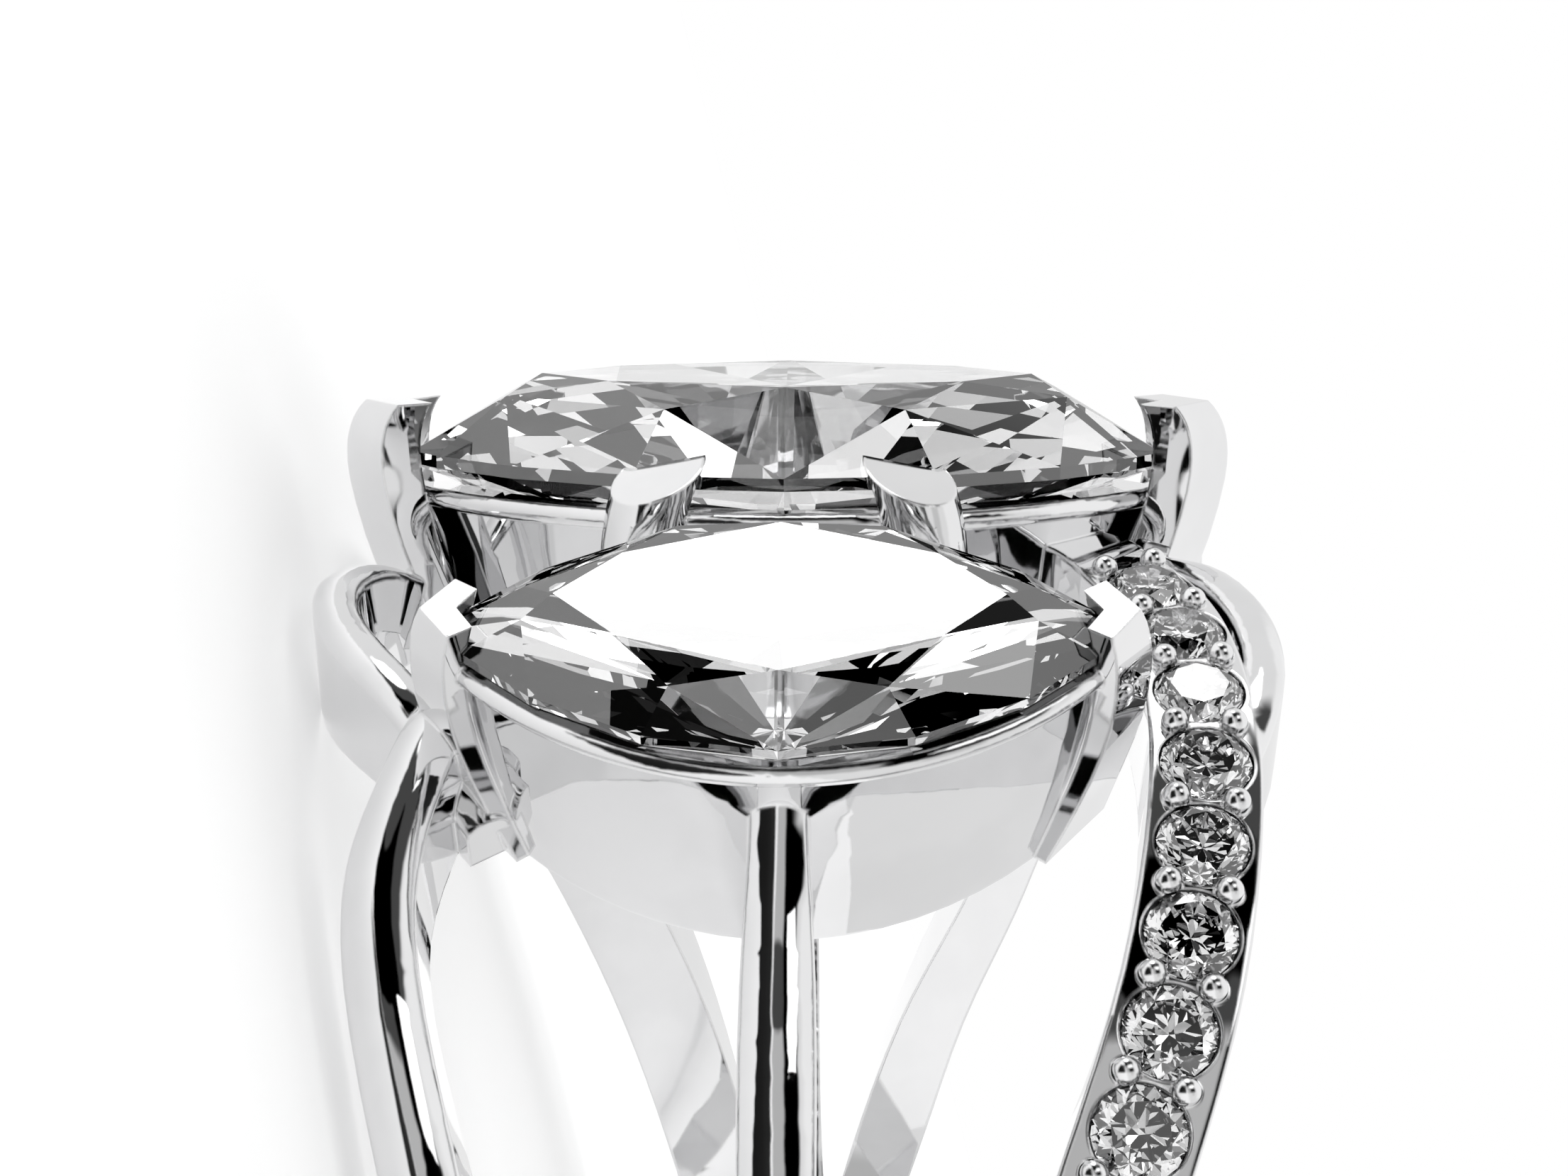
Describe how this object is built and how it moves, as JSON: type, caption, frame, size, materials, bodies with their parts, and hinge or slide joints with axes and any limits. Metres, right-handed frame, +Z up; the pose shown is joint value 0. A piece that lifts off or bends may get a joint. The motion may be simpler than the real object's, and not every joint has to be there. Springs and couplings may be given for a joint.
{
  "type": "split shank ring",
  "caption": "Polished white metal ring with a split shank, marquise stones in cups across its head and rows of small round stones on two branches.",
  "frame": {"origin": "middle of the ring's bounding box, on the surface that the ring lies on", "axes": "+Z up from that surface, near to the finger's direction; the head with its stones points to -X and the plain shank to +X; +Y runs towards the far side stone"},
  "size_m": [0.0226, 0.0208, 0.0123],
  "materials": {
    "white_metal": "mirror polished white gold",
    "diamond": "clear cut stone with sharp facets",
    "pave_diamond": "clear small round brilliants"
  },
  "bodies": {
    "root": {"ring_mount": "white_metal", "centre_stone": "diamond", "side_stone_near": "diamond", "side_stone_far": "diamond", "pave_stone_near_01": "pave_diamond", "pave_stone_near_02": "pave_diamond", "pave_stone_near_03": "pave_diamond", "pave_stone_near_04": "pave_diamond", "pave_stone_near_05": "pave_diamond", "pave_stone_near_06": "pave_diamond", "pave_stone_near_07": "pave_diamond", "pave_stone_near_08": "pave_diamond", "pave_stone_near_09": "pave_diamond", "pave_stone_near_10": "pave_diamond", "pave_stone_near_11": "pave_diamond", "pave_stone_near_12": "pave_diamond", "pave_stone_near_13": "pave_diamond", "pave_stone_far_01": "pave_diamond", "pave_stone_far_02": "pave_diamond", "pave_stone_far_03": "pave_diamond", "pave_stone_far_04": "pave_diamond", "pave_stone_far_05": "pave_diamond", "pave_stone_far_06": "pave_diamond", "pave_stone_far_07": "pave_diamond", "pave_stone_far_08": "pave_diamond", "pave_stone_far_09": "pave_diamond", "pave_stone_far_10": "pave_diamond", "pave_stone_far_11": "pave_diamond", "pave_stone_far_12": "pave_diamond", "pave_stone_far_13": "pave_diamond"}
  },
  "joints": []
}
